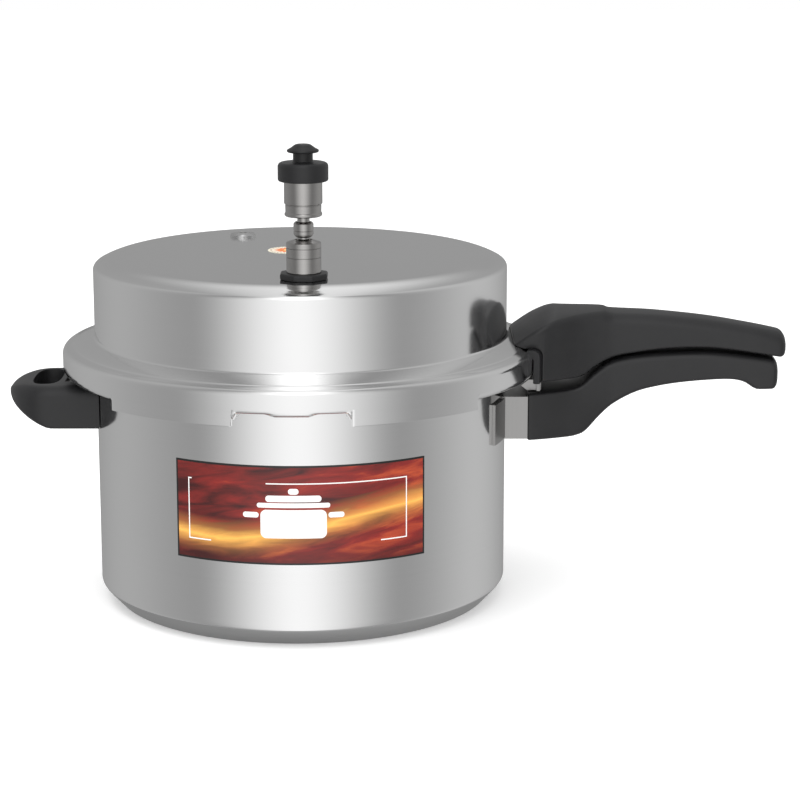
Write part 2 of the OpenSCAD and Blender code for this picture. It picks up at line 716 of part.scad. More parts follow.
module weight_cap() {
    r = cap_d / 2;
    stem_r = 5.8;
    k = knob_d / 2;
    color("#232324") at_vent() rotate_extrude() polygon(concat(
        [[stud_r + fit, weight_top + 3], [stud_r + fit, weight_top + 2], [well(), weight_top + 2],
            [well(), weight_top], [r - 1.4, weight_top]],
        arc(r - 1.4, weight_top + 1.4, 1.4, -90, 0, 4),
        arc(r - 2.4, cap_top - 2.4, 2.4, 0, 78, 5),
        [[stem_r, cap_top], [stem_r, stem_top], [k - 1.2, stem_top]],
        arc(k - 0.9, stem_top + 0.9, 0.9, -90, 40, 5),
        [[k * 0.62, knob_top - 0.8], [k * 0.43, knob_top], [0, knob_top],
            [0, knob_top - 3], [stud_r + fit, knob_top - 3]]));
}

function well() = needle_head_r + touch;

module weight_stud() {
    color("silver") at_vent() {
        translate([0, 0, weight_top - 2.4]) cylinder(r = well() - fit, h = 2.4 + 1.9);
        translate([0, 0, weight_top + 1]) cylinder(r = stud_r, h = knob_top - 3.3 - weight_top - 1);
    }
}

// ---- Fusible safety plug, standing at the plug's place ----

plug_stem_r = 4;
alloy_r = 2.2;

module at_plug() {
    translate([plug_x, plug_y, 0]) children();
}

module safety_plug() {
    low = lid_under - washer_t - 4.5;
    r = plug_d / 2;
    color("silver") at_plug() rotate_extrude() polygon([
        [alloy_r + fit, low], [plug_stem_r, low], [plug_stem_r, lid_top], [r, lid_top],
        [r, lid_top + 1.1], [r - 0.8, lid_top + 1.9], [alloy_r + 1.4, lid_top + 2.4],
        [alloy_r + fit, lid_top + 2.2]]);
}

module fusible_alloy() {
    low = lid_under - washer_t - 4.3;
    color("darkgray") at_plug() rotate_extrude() polygon([
        [0, low], [alloy_r, low], [alloy_r, lid_top + 1.9], [0, lid_top + 2.3]]);
}

module safety_plug_washer() {
    color("dimgray") at_plug() ring(plug_stem_r + fit, 8, lid_under - washer_t, lid_under);
}

module safety_plug_nut() {
    color("silver") at_plug() translate([0, 0, lid_under - washer_t - 4])
        hex_nut(13, 4, plug_stem_r + fit);
}

module lid_sticker() {
    color("orange") translate([-7.5, 12, lid_top]) cylinder(r = sticker_d / 2, h = label_t);
}

pot_body();
pot_bracket();
pot_bracket_rivets();
pot_handle();
pot_handle_screw();
helper_bracket();
helper_bracket_rivets();
helper_handle();
helper_handle_screw();
body_label();
lid_shell();
gasket();
lid_bracket();
lid_bracket_rivets();
lid_handle();
lid_handle_collar();
lid_handle_screws();
vent_pipe();
vent_housing();
vent_base_nut();
vent_washer();
vent_lock_nut();
safety_plug();
fusible_alloy();
safety_plug_nut();
safety_plug_washer();
lid_sticker();
valve_needle();
weight_sleeve();
weight_cap();
weight_stud();
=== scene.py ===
import math

import bmesh
import bpy
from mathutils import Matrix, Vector


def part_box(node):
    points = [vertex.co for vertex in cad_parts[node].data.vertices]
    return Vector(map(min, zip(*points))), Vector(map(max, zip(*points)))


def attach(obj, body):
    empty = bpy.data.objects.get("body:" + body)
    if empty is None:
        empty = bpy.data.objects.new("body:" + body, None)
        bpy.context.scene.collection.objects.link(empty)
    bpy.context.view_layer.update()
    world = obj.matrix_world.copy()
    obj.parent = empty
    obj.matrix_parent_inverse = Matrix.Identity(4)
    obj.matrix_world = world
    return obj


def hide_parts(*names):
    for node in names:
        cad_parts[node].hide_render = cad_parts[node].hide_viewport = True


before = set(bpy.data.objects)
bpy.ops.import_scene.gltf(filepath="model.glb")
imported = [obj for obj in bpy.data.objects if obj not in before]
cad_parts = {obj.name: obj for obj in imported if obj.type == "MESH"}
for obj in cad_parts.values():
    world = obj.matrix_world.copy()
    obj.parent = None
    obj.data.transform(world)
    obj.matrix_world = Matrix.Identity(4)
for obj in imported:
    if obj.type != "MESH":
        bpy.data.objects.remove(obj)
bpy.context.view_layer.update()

mm = 0.001

print("frame loaded:", len(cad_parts), "nodes")


def box(node):
    low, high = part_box(node)
    return low / mm, high / mm


# Sizes in millimetres, read off the frame
labelStands = 0.25              # the label's outside, from the wall
lidHigh = box("lid_shell")[1]
wallR = -box("body_label")[0].y - labelStands     # outside of the pot wall
rimZ = box("pot_body")[1].z     # top of the rim
crownZ = lidHigh.z              # top of the lid
skirtR = lidHigh.x              # outside of the lid's skirt
ventX = (box("vent_housing")[0].x + box("vent_housing")[1].x) / 2
ventY = (box("vent_housing")[0].y + box("vent_housing")[1].y) / 2


def deselectAll():
    if bpy.context.mode != "OBJECT":
        bpy.ops.object.mode_set(mode="OBJECT")
    bpy.ops.object.select_all(action="DESELECT")


def pick(piece):
    deselectAll()
    piece.select_set(True)
    bpy.context.view_layer.objects.active = piece


def settle(piece, name):
    # the finished piece sits at the origin, with its place in its mesh
    pick(piece)
    piece.name = name
    piece.data.name = name
    bpy.ops.object.transform_apply(location=True, rotation=True, scale=True)
    return piece


def smooth(piece, angle=32):
    pick(piece)
    bpy.ops.object.shade_smooth_by_angle(angle=math.radians(angle))


def softEdges(piece, width, segments=2, angle=40):
    pick(piece)
    bevel = piece.modifiers.new("edges", "BEVEL")
    bevel.width = width * mm
    bevel.segments = segments
    bevel.limit_method = "ANGLE"
    bevel.angle_limit = math.radians(angle)
    bevel.harden_normals = False
    bpy.ops.object.modifier_apply(modifier=bevel.name)


def cut(piece, cutter):
    pick(piece)
    trim = piece.modifiers.new("trim", "BOOLEAN")
    trim.operation = "DIFFERENCE"
    trim.solver = "EXACT"
    trim.object = cutter
    bpy.ops.object.modifier_apply(modifier=trim.name)
    bpy.data.objects.remove(cutter)


def joined(pieces, name):
    pick(pieces[0])
    for other in pieces[1:]:
        other.select_set(True)
    bpy.ops.object.join()
    return settle(pieces[0], name)


def arcPoints(x, z, r, start, end, count=8):
    angles = [math.radians(start + (end - start) * i / count) for i in range(count + 1)]
    return [(x + r * math.cos(a), z + r * math.sin(a)) for a in angles]


def smoothCurve(points, steps=8):
    # an even curve through the points
    out = []
    last = len(points) - 1
    for i in range(last):
        a, b, c, d = (Vector(points[min(max(k, 0), last)]) for k in (i - 1, i, i + 1, i + 2))
        for s in range(steps):
            t = s / steps
            out.append(0.5 * (2 * b + (c - a) * t + (2 * a - 5 * b + 4 * c - d) * t * t
                              + (3 * b - a - 3 * c + d) * t ** 3))
    out.append(Vector(points[last]))
    return out


def heightAt(curve, x):
    if x <= curve[0].x:
        return curve[0].y
    for a, b in zip(curve, curve[1:]):
        if x <= b.x:
            return a.y + (b.y - a.y) * (x - a.x) / max(b.x - a.x, 1e-9)
    return curve[-1].y


def turned(name, outline, place=(0, 0), steps=160, start=0, angle=360, ring=False):
    # spins an outline of radii and heights round the upright axis at a place
    deselectAll()
    bpy.ops.mesh.primitive_plane_add(size=mm, location=(0, 0, 0))
    piece = bpy.context.active_object
    bpy.ops.object.mode_set(mode="EDIT")
    bpy.ops.mesh.select_all(action="SELECT")
    bpy.ops.mesh.merge(type="CENTER")
    turn = math.radians(start)
    spots = [Vector((r * math.cos(turn), r * math.sin(turn), z)) * mm for r, z in outline]
    bpy.ops.transform.translate(value=spots[0])
    for a, b in zip(spots, spots[1:]):
        bpy.ops.mesh.extrude_region_move(TRANSFORM_OT_translate={"value": b - a})
    bpy.ops.mesh.select_all(action="SELECT")
    if ring:
        bpy.ops.mesh.edge_face_add()
    bpy.ops.mesh.spin(steps=steps, angle=math.radians(-angle), center=(0, 0, 0), axis=(0, 0, 1))
    if ring and angle == 360:
        bpy.ops.mesh.select_all(action="DESELECT")
        bpy.ops.object.mode_set(mode="OBJECT")
        dropFaces(piece, lambda f: len(f.verts) > 4)
        bpy.ops.object.mode_set(mode="EDIT")
    bpy.ops.mesh.select_all(action="SELECT")
    bpy.ops.mesh.remove_doubles(threshold=0.000005)
    bpy.ops.mesh.normals_make_consistent(inside=False)
    bpy.ops.object.mode_set(mode="OBJECT")
    piece.location = (place[0] * mm, place[1] * mm, 0)
    settle(piece, name)
    smooth(piece)
    return piece


def dropFaces(piece, wanted):
    mesh = bmesh.new()
    mesh.from_mesh(piece.data)
    bmesh.ops.delete(mesh, geom=[f for f in mesh.faces if wanted(f)], context="FACES_ONLY")
    mesh.to_mesh(piece.data)
    mesh.free()


def selectFaces(piece, wanted):
    # in edit mode: selects the faces that answer, and nothing else
    mesh = bmesh.from_edit_mesh(piece.data)
    for part in (*mesh.verts, *mesh.edges, *mesh.faces):
        part.select = False
    mesh.select_mode = {"FACE"}
    for f in mesh.faces:
        if wanted(f.calc_center_median() / mm, f.normal):
            f.select_set(True)
    mesh.select_flush_mode()
    bmesh.update_edit_mesh(piece.data)
    return mesh


def bearing(spot):
    return math.degrees(math.atan2(spot.y, spot.x))


def within(spot, middle, half):
    return abs((bearing(spot) - middle + 180) % 360 - 180) < half


# A section with rounded corners: half width, underside, top, and the corner radii
def section(half, low, high, topR, lowR, crown, perCorner=6, across=5):
    topR = min(topR, half * 0.98, (high - low) * 0.49)
    lowR = min(lowR, half * 0.98, (high - low) * 0.49)
    out = arcPoints(half - lowR, low + lowR, lowR, -90, 0, perCorner)
    out += arcPoints(half - topR, high - topR, topR, 0, 90, perCorner)
    for i in range(1, across + 1):
        out.append((half - topR - 2 * (half - topR) * i / (across + 1), high))
    out += arcPoints(-half + topR, high - topR, topR, 90, 180, perCorner)
    out += arcPoints(-half + lowR, low + lowR, lowR, 180, 270, perCorner)
    rise = [max(0, (z - (low + high) / 2) / ((high - low) / 2)) for y, z in out]
    return [(y, z - crown * r * (y / half) ** 2) for (y, z), r in zip(out, rise)]


def lofted(name, sections):
    # a tube is extruded along X, and each of its rings takes the shape of its section
    count = len(sections[0][1])
    deselectAll()
    bpy.ops.mesh.primitive_circle_add(vertices=count, radius=1, fill_type="NGON",
                                      location=(0, 0, 0), rotation=(0, math.pi / 2, 0))
    piece = bpy.context.active_object
    bpy.ops.object.transform_apply(location=False, rotation=True, scale=True)
    bpy.ops.object.mode_set(mode="EDIT")
    bpy.ops.mesh.select_all(action="SELECT")
    for _ in sections[1:]:
        bpy.ops.mesh.extrude_region_move(TRANSFORM_OT_translate={"value": (1, 0, 0)})
    mesh = bmesh.from_edit_mesh(piece.data)
    for v in mesh.verts:
        x, ring = sections[round(v.co.x)]
        y, z = ring[round(math.atan2(v.co.z, v.co.y) * count / math.tau) % count]
        v.co = Vector((x, y, z)) * mm
    bmesh.update_edit_mesh(piece.data)
    bpy.ops.mesh.select_all(action="SELECT")
    bpy.ops.mesh.normals_make_consistent(inside=False)
    bpy.ops.object.mode_set(mode="OBJECT")
    settle(piece, name)
    smooth(piece)
    return piece


cameraSpec = {"place": (0.06045, -1.44354, 0.44274), "down": 12.618, "lens": 107.99}


def makeCamera(spec):
    tilt = math.radians(90 - spec["down"])
    bpy.ops.object.camera_add(location=spec["place"], rotation=(tilt, 0, 0))
    camera = bpy.context.active_object
    camera.name = "camera"
    camera.data.sensor_width = 36
    camera.data.lens = spec["lens"]
    camera.data.clip_end = 50
    bpy.context.scene.camera = camera
    bpy.context.scene.view_settings.view_transform = "Standard"


makeCamera(cameraSpec)

studioSpec = {
    # soft panels standing round the object: bearing from the front in degrees, half width, level
    "panels": [(0, 60, 0.75), (115, 60, 0.2), (-115, 60, 0.1)],
    "base": 0.33,
    "overhead": (0.35, 0.55),      # half width from side to side, and level
    "fill": 1.12,           # the soft light that falls on everything
    "floorColour": (0.94, 0.94, 0.94, 1),
    "backdrop": 1.0,
}


class Wiring:
    # short hand for joining shader nodes
    def __init__(self, tree):
        self.tree = tree
        tree.nodes.clear()

    def add(self, kind, inputs=None, **settings):
        made = self.tree.nodes.new(kind)
        for key, value in settings.items():
            setattr(made, key, value)
        for key, value in (inputs or {}).items():
            if isinstance(value, bpy.types.NodeSocket):
                self.tree.links.new(value, made.inputs[key])
            else:
                made.inputs[key].default_value = value
        return made

    def math(self, how, a, b=0.0, c=0.0):
        return self.add("ShaderNodeMath", {0: a, 1: b, 2: c}, operation=how).outputs[0]

    def ramp(self, value, stops, how="LINEAR"):
        made = self.add("ShaderNodeValToRGB", {0: value})
        made.color_ramp.interpolation = how
        while len(made.color_ramp.elements) < len(stops):
            made.color_ramp.elements.new(0.5)
        for spot, (place, colour) in zip(made.color_ramp.elements, stops):
            spot.position = place
            spot.color = colour if isinstance(colour, tuple) else (colour, colour, colour, 1)
        return made.outputs[0]

    def blend(self, amount, a, b, how="MIX"):
        made = self.add("ShaderNodeMix", data_type="RGBA", blend_type=how)
        for slot, value in ((0, amount), (6, a), (7, b)):
            if isinstance(value, bpy.types.NodeSocket):
                self.tree.links.new(value, made.inputs[slot])
            else:
                made.inputs[slot].default_value = value
        return made.outputs[2]


def makeStudio(spec):
    world = bpy.data.worlds.new("studio")
    bpy.context.scene.world = world
    world.use_nodes = True
    wire = Wiring(world.node_tree)
    looking = wire.add("ShaderNodeTexCoord").outputs["Generated"]
    parts = wire.add("ShaderNodeSeparateXYZ", {0: looking}).outputs
    facing = wire.math("ARCTAN2", parts[0], wire.math("MULTIPLY", parts[1], -1))

    def soft(value, edge, full, level):
        return wire.add("ShaderNodeMapRange", {"Value": value, "From Min": edge, "From Max": full,
                                               "To Min": 0.0, "To Max": level},
                        interpolation_type="SMOOTHSTEP").outputs[0]

    room = spec["base"]
    for middle, half, level in spec["panels"]:
        off = wire.math("ABSOLUTE", wire.math("SUBTRACT", facing, math.radians(middle)))
        room = wire.math("ADD", soft(off, math.radians(half), 0.0, level), room)
    half, level = spec["overhead"]
    across = soft(wire.math("ABSOLUTE", parts[0]), half, 0.0, level)
    room = wire.math("MULTIPLY_ADD", across, soft(parts[2], 0.32, 0.7, 1.0), room)
    rays = wire.add("ShaderNodeLightPath").outputs
    back, fill = spec["backdrop"], spec["fill"]
    lit = wire.blend(rays["Is Diffuse Ray"], room, (fill, fill, fill, 1))
    shown = wire.blend(rays["Is Camera Ray"], lit, (back, back, back, 1))
    light = wire.add("ShaderNodeBackground", {"Color": shown, "Strength": 1.0})
    wire.add("ShaderNodeOutputWorld", {0: light.outputs[0]})

    bpy.ops.object.light_add(type="AREA", location=(-0.4, -0.5, 1.8))
    lamp = bpy.context.active_object
    lamp.name = "overheadLight"
    lamp.rotation_euler = (math.radians(16), math.radians(-12), 0)
    lamp.data.size = 1.6
    lamp.data.energy = 14
    lamp.visible_glossy = False

    bpy.ops.mesh.primitive_plane_add(size=12, location=(0, 0, 0))
    floor = bpy.context.active_object
    floor.name = "floor"
    floor.visible_glossy = False     # the metal mirrors the studio and not the table
    paint = bpy.data.materials.new("floorPaint")
    paint.use_nodes = True
    wire = Wiring(paint.node_tree)
    skin = wire.add("ShaderNodeBsdfPrincipled", {"Base Color": spec["floorColour"], "Roughness": 0.9,
                                                 "Emission Color": (1, 1, 1, 1), "Emission Strength": 0.22})
    wire.add("ShaderNodeOutputMaterial", {0: skin.outputs[0]})
    floor.data.materials.append(paint)


makeStudio(studioSpec)
print("camera and studio ready")


def newPaint(name):
    paint = bpy.data.materials.new(name)
    paint.use_nodes = True
    return paint, Wiring(paint.node_tree)


def finishPaint(wire, skin):
    wire.add("ShaderNodeOutputMaterial", {0: skin.outputs[0]})


def turningMarks(wire, fine, place=(0, 0)):
    # rings round the axis: noise that changes only with the radius and the height
    spot = wire.add("ShaderNodeTexCoord").outputs["Object"]
    axis = wire.add("ShaderNodeVectorMath", {0: spot, 1: (place[0] * mm, place[1] * mm, 0)},
                    operation="SUBTRACT").outputs[0]
    flat = wire.add("ShaderNodeVectorMath", {0: axis, 1: (1, 1, 0)}, operation="MULTIPLY").outputs[0]
    radius = wire.add("ShaderNodeVectorMath", {0: flat}, operation="LENGTH").outputs["Value"]
    height = wire.add("ShaderNodeSeparateXYZ", {0: spot}).outputs[2]
    where = wire.add("ShaderNodeCombineXYZ", {0: radius, 1: height}).outputs[0]
    return wire.add("ShaderNodeTexNoise", {"Vector": where, "Scale": fine, "Detail": 3.0,
                                           "Roughness": 0.6}).outputs["Fac"]


def aluminiumPaint(name, colour, rough, stretch, marks, depth, smudge=0.05):
    paint, wire = newPaint(name)
    rings = turningMarks(wire, marks)
    broad = wire.add("ShaderNodeTexNoise", {"Vector": wire.add("ShaderNodeTexCoord").outputs["Object"],
                                            "Scale": 22.0, "Detail": 4.0}).outputs["Fac"]
    tone = wire.blend(rings, tuple(c * 0.96 for c in colour) + (1,), tuple(colour) + (1,))
    tone = wire.blend(wire.math("MULTIPLY", broad, smudge * 2), tone, (0.70, 0.70, 0.69, 1))
    haze = wire.math("ADD", wire.math("MULTIPLY", rings, 0.06), rough - 0.03)
    haze = wire.math("ADD", haze, wire.math("MULTIPLY", wire.math("SUBTRACT", broad, 0.5), smudge))
    bump = wire.add("ShaderNodeBump", {"Height": rings, "Strength": depth, "Distance": 0.0002}).outputs[0]
    along = wire.add("ShaderNodeTangent", direction_type="RADIAL", axis="Z").outputs[0]
    skin = wire.add("ShaderNodeBsdfPrincipled", {"Base Color": tone, "Metallic": 1.0, "Roughness": haze,
                                                 "Anisotropic": stretch, "Normal": bump, "Tangent": along})
    finishPaint(wire, skin)
    return paint


def steelPaint(name, colour, rough, place=(0, 0), marks=900.0, depth=0.05):
    paint, wire = newPaint(name)
    rings = turningMarks(wire, marks, place)
    tone = wire.blend(rings, tuple(c * 0.88 for c in colour) + (1,), tuple(colour) + (1,))
    haze = wire.math("MULTIPLY_ADD", rings, 0.12, rough - 0.06)
    bump = wire.add("ShaderNodeBump", {"Height": rings, "Strength": depth, "Distance": 0.0001}).outputs[0]
    skin = wire.add("ShaderNodeBsdfPrincipled", {"Base Color": tone, "Metallic": 1.0, "Roughness": haze,
                                                 "Normal": bump})
    finishPaint(wire, skin)
    return paint


def brushedPaint(name, colour, rough):
    # sheet steel with the grain standing upright
    paint, wire = newPaint(name)
    spot = wire.add("ShaderNodeTexCoord").outputs["Object"]
    long = wire.add("ShaderNodeMapping", {0: spot, "Scale": (900.0, 900.0, 18.0)}).outputs[0]
    grain = wire.add("ShaderNodeTexNoise", {"Vector": long, "Scale": 1.0, "Detail": 3.0}).outputs["Fac"]
    tone = wire.blend(grain, tuple(c * 0.82 for c in colour) + (1,), tuple(colour) + (1,))
    bump = wire.add("ShaderNodeBump", {"Height": grain, "Strength": 0.12, "Distance": 0.0002}).outputs[0]
    haze = wire.math("MULTIPLY_ADD", grain, 0.15, rough - 0.07)
    skin = wire.add("ShaderNodeBsdfPrincipled", {"Base Color": tone, "Metallic": 1.0, "Roughness": haze,
                                                 "Normal": bump})
    finishPaint(wire, skin)
    return paint


def mouldedPaint(name, colour, rough, grainDepth=0.08):
    # phenolic: a fine moulded grain, faint flow clouds and slightly worn gloss
    paint, wire = newPaint(name)
    spot = wire.add("ShaderNodeTexCoord").outputs["Object"]
    grain = wire.add("ShaderNodeTexNoise", {"Vector": spot, "Scale": 1600.0, "Detail": 2.0}).outputs["Fac"]
    cloud = wire.add("ShaderNodeTexNoise", {"Vector": spot, "Scale": 38.0, "Detail": 5.0,
                                            "Roughness": 0.62}).outputs["Fac"]
    tone = wire.blend(cloud, tuple(c * 0.72 for c in colour) + (1,), tuple(c * 1.3 for c in colour) + (1,))
    haze = wire.math("MULTIPLY_ADD", cloud, 0.2, rough - 0.10)
    bump = wire.add("ShaderNodeBump", {"Height": grain, "Strength": grainDepth,
                                       "Distance": 0.00015}).outputs[0]
    skin = wire.add("ShaderNodeBsdfPrincipled", {"Base Color": tone, "Roughness": haze, "Normal": bump,
                                                 "Specular IOR Level": 0.42})
    finishPaint(wire, skin)
    return paint


labelSpec = {
    "maroon": (0.055, 0.006, 0.006, 1), "red": (0.26, 0.012, 0.008, 1), "orange": (0.72, 0.11, 0.02, 1),
    "yellow": (1.0, 0.50, 0.09, 1), "black": (0.012, 0.012, 0.012, 1), "white": (0.92, 0.92, 0.90, 1),
    "border": 1.1,                          # the black edge, mm
    "frame": (0.057, 0.918, 0.21, 0.82), "line": 0.34,
    "sweep": [(0.0, 0.30), (0.22, 0.20), (0.42, 0.30), (0.62, 0.42), (0.82, 0.53), (1.0, 0.60)],
    # a plain cooking pot: centre across, centre up, half width, half height, corner, all mm
    "icon": [(-4, -5, 19, 8.4, 3.4), (-4, 6, 21, 1.4, 1.3), (-4, 9.9, 16, 1.9, 1.8), (-4, 14.2, 3, 1.7, 1.6),
             (-28.6, 0.2, 4.6, 1.6, 1.5), (20.6, 0.2, 4.6, 1.6, 1.5)],
}


def labelPaint(name, spec):
    paint, wire = newPaint(name)
    low, high = box("body_label")
    radius, middle = -low[1], (low[2] + high[2]) / 2
    left, right = math.asin(low[0] / radius), math.asin(high[0] / radius)
    turn, half = (left + right) / 2 * radius, (right - left) / 2 * radius
    tall = (high[2] - low[2]) / 2
    parts = wire.add("ShaderNodeSeparateXYZ", {0: wire.add("ShaderNodeTexCoord").outputs["Object"]}).outputs
    facing = wire.math("ARCTAN2", parts[0], wire.math("MULTIPLY", parts[1], -1))
    across = wire.math("MULTIPLY_ADD", facing, radius, -turn)
    up = wire.math("MULTIPLY_ADD", parts[2], 1000.0, -middle)
    u = wire.math("MULTIPLY_ADD", across, 0.5 / half, 0.5)
    v = wire.math("MULTIPLY_ADD", up, 0.5 / tall, 0.5)

    def inside(cx, cz, hx, hz, r):
        gaps = []
        for value, centre, reach in ((across, cx, hx), (up, cz, hz)):
            far = wire.math("ABSOLUTE", wire.math("SUBTRACT", value, centre))
            gaps.append(wire.math("MAXIMUM", wire.math("SUBTRACT", far, reach - r), 0.0))
        return wire.math("LESS_THAN", wire.math("ADD", wire.math("POWER", gaps[0], 2.0),
                                                wire.math("POWER", gaps[1], 2.0)), r * r)

    slope = wire.math("MULTIPLY_ADD", u, -1.4, wire.math("MULTIPLY", v, 4.5))
    flow = wire.add("ShaderNodeCombineXYZ", {0: wire.math("MULTIPLY", u, 2.2), 1: slope})
    cloud = wire.add("ShaderNodeTexNoise", {"Vector": flow.outputs[0], "Scale": 1.7, "Detail": 4.0,
                                            "Roughness": 0.55, "Distortion": 0.6}).outputs["Fac"]
    warm = wire.math("MULTIPLY_ADD", cloud, 1.1, wire.math("MULTIPLY_ADD", u, 0.20, -0.34))
    tone = wire.ramp(warm, [(0.10, spec["maroon"]), (0.40, spec["red"]), (0.72, spec["orange"])])
    sweep = wire.ramp(u, spec["sweep"], "B_SPLINE")
    above = wire.math("SUBTRACT", wire.math("SUBTRACT", v, sweep), 0.08)
    wave = wire.math("MULTIPLY_ADD", cloud, 0.16, above)
    glow = wire.ramp(wire.math("ABSOLUTE", wave), [(0.0, 1.0), (0.03, 0.66), (0.10, 0.2), (0.2, 0.0)])
    tone = wire.blend(glow, tone, spec["yellow"])
    below = wire.ramp(v, [(0.0, 0.7), (0.22, 0.0)])
    tone = wire.blend(below, tone, spec["maroon"])

    a, b, c, d = spec["frame"]
    centre = ((a + b - 1) * half, (c + d - 1) * tall)
    reach = ((b - a) * half, (d - c) * tall)
    line = spec["line"]
    outer = inside(*centre, reach[0] + line, reach[1] + line, 0.05)
    inner = inside(*centre, reach[0] - line, reach[1] - line, 0.05)
    rules = wire.math("SUBTRACT", outer, inner)
    for gap in ((-0.56 * half, centre[1] + reach[1], 0.30 * half, 3),
                (-0.04 * half, centre[1] - reach[1], 0.66 * half, 3)):
        rules = wire.math("MULTIPLY", rules, wire.math("SUBTRACT", 1.0, inside(*gap, 0.05)))
    white = rules
    for shape in spec["icon"]:
        white = wire.math("MAXIMUM", white, inside(*shape))
    tone = wire.blend(white, tone, spec["white"])
    edge = inside(0, 0, half - spec["border"], tall - spec["border"], 0.05)
    tone = wire.blend(edge, spec["black"], tone)
    skin = wire.add("ShaderNodeBsdfPrincipled", {"Base Color": tone, "Roughness": 0.34,
                                                 "Coat Weight": 0.12, "Coat Roughness": 0.12})
    finishPaint(wire, skin)
    return paint


stickerSpec = {"middle": (-7.5, 12), "dotR": 11.3, "dots": 30, "dot": 0.62, "sunR": 9.4,
               "cream": (0.80, 0.76, 0.62, 1), "dark": (0.30, 0.10, 0.05, 1), "red": (0.72, 0.09, 0.03, 1),
               "orange": (0.90, 0.32, 0.06, 1), "rays": 18, "heartR": 3.4, "yellow": (0.95, 0.68, 0.22, 1)}


def stickerPaint(name, spec):
    paint, wire = newPaint(name)
    parts = wire.add("ShaderNodeSeparateXYZ", {0: wire.add("ShaderNodeTexCoord").outputs["Object"]}).outputs
    x, y = (wire.math("MULTIPLY_ADD", parts[i], 1000.0, -spec["middle"][i]) for i in (0, 1))
    far = wire.math("SQRT", wire.math("ADD", wire.math("MULTIPLY", x, x), wire.math("MULTIPLY", y, y)))
    turn = wire.math("MULTIPLY_ADD", wire.math("ARCTAN2", y, x), 0.5 / math.pi, 0.5)

    def beat(count):
        return wire.math("SUBTRACT", wire.math("FRACT", wire.math("MULTIPLY", turn, float(count))), 0.5)

    aside = wire.math("MULTIPLY", beat(spec["dots"]), 2 * math.pi * spec["dotR"] / spec["dots"])
    along = wire.math("SUBTRACT", far, spec["dotR"])
    dots = wire.math("LESS_THAN", wire.math("ADD", wire.math("MULTIPLY", aside, aside),
                                            wire.math("MULTIPLY", along, along)), spec["dot"] ** 2)
    rays = wire.math("ABSOLUTE", beat(spec["rays"]))
    tip = wire.math("MULTIPLY_ADD", rays, -7.0, spec["sunR"] + 0.6)
    sun = wire.math("LESS_THAN", far, tip)
    grain = wire.add("ShaderNodeTexNoise", {"Vector": wire.add("ShaderNodeTexCoord").outputs["Object"],
                                            "Scale": 420.0, "Detail": 2.0}).outputs["Fac"]
    fire = wire.blend(wire.math("ADD", wire.math("MULTIPLY", rays, 1.2), wire.math("MULTIPLY", grain, 0.4)),
                      spec["red"], spec["orange"])
    heart = wire.math("LESS_THAN", far, spec["heartR"])
    tone = wire.blend(dots, spec["cream"], spec["dark"])
    tone = wire.blend(sun, tone, fire)
    tone = wire.blend(heart, tone, spec["yellow"])
    skin = wire.add("ShaderNodeBsdfPrincipled", {"Base Color": tone, "Roughness": 0.42})
    finishPaint(wire, skin)
    return paint


paints = {
    "label": labelPaint("pictureLabel", labelSpec),
    "sticker": stickerPaint("lidSticker", stickerSpec),
    "pot": aluminiumPaint("polishedAluminium", (0.90, 0.90, 0.90), 0.115, 0.6, 700.0, 0.03, 0.04),
    "band": aluminiumPaint("machinedBand", (0.60, 0.60, 0.60), 0.46, 0.3, 2600.0, 0.35),
    "inside": aluminiumPaint("satinInside", (0.80, 0.80, 0.80), 0.40, 0.5, 900.0, 0.15),
    "steel": steelPaint("turnedSteel", (0.47, 0.46, 0.45), 0.13, (ventX, ventY)),
    "plainSteel": steelPaint("plainSteel", (0.66, 0.66, 0.66), 0.28),
    "brushed": brushedPaint("brushedSteel", (0.40, 0.395, 0.39), 0.33),
    "black": mouldedPaint("blackPhenolic", (0.016, 0.016, 0.017), 0.39),
    "blackFine": mouldedPaint("blackCap", (0.014, 0.014, 0.015), 0.38, 0.05),
    "rubber": mouldedPaint("rubber", (0.040, 0.040, 0.041), 0.70, 0.15),
    "alloy": steelPaint("dullAlloy", (0.42, 0.42, 0.41), 0.50, (0, 0), 300.0, 0.4),
}


def dress(piece, paint):
    piece.data.materials.clear()
    piece.data.materials.append(paint)
    return piece


def dressNode(node, paint):
    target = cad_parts[node]
    for slot in target.material_slots:
        slot.material = paint
    if not target.material_slots:
        target.data.materials.append(paint)


def place(piece, body, slot, *nodes):
    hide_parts(*nodes)
    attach(piece, body)
    return piece


print("materials ready:", len(paints))


potSpec = {"wall": 3.25, "floor": 4.5, "bandIn": 10, "bandHeight": 11.5, "cornerR": 12,
           "rimOut": 5, "rimThick": 3.25, "lugOut": 9.5, "lugDegrees": 27, "lugs": 6}


